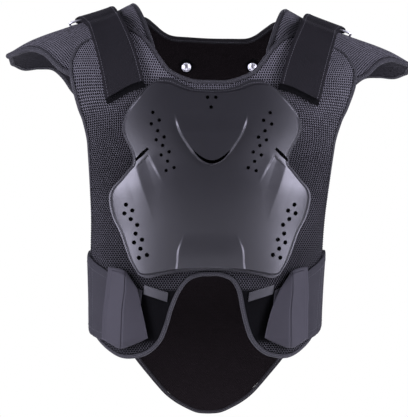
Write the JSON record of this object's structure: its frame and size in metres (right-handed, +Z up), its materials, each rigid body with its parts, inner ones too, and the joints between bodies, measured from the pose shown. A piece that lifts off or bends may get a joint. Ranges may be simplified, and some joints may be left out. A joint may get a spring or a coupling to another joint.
{
  "type": "motorcycle armour vest",
  "caption": "Padded sleeveless vest with a moulded vented chest plate, shoulder caps, wide shoulder straps, side belts with guards and a long back tail.",
  "frame": {"origin": "midway between the shoulders, at the height where the vest sits on them beside the neck", "axes": "+Z up, the front of the vest faces -Y, +X to the right of a viewer in front"},
  "size_m": [0.5627, 0.2618, 0.5778],
  "materials": {
    "air_mesh": "charcoal knitted air mesh over thin foam",
    "binding_tape": "smooth folded edge tape, near black",
    "back_cloth": "plain dark padded cloth",
    "moulded_plastic": "satin dark grey moulding",
    "guard_plastic": "matte blue-grey moulding",
    "webbing": "wide napped strap, charcoal",
    "hook_cloth": "fine black hook cloth",
    "satin_strap": "light grey satin tape",
    "bright_metal": "bright plated metal"
  },
  "bodies": {
    "root": {"front_panel": "air_mesh", "front_binding": "binding_tape", "chest_plate": "moulded_plastic", "back_panel": "back_cloth", "back_binding": "binding_tape", "shoulder_pad_left": "air_mesh", "shoulder_pad_right": "air_mesh", "shoulder_binding_left": "binding_tape", "shoulder_binding_right": "binding_tape", "shoulder_strap_left": "webbing", "shoulder_strap_right": "webbing", "strap_hook_left": "hook_cloth", "strap_hook_right": "hook_cloth", "strap_loop_left": "bright_metal", "strap_loop_right": "bright_metal", "loop_tab_left": "webbing", "loop_tab_right": "webbing", "waist_belt_left": "webbing", "waist_belt_right": "webbing", "side_plate_left": "guard_plastic", "side_plate_right": "guard_plastic", "waist_strap_left": "satin_strap", "waist_strap_right": "satin_strap", "rivet_left": "bright_metal", "rivet_right": "bright_metal"}
  },
  "joints": []
}
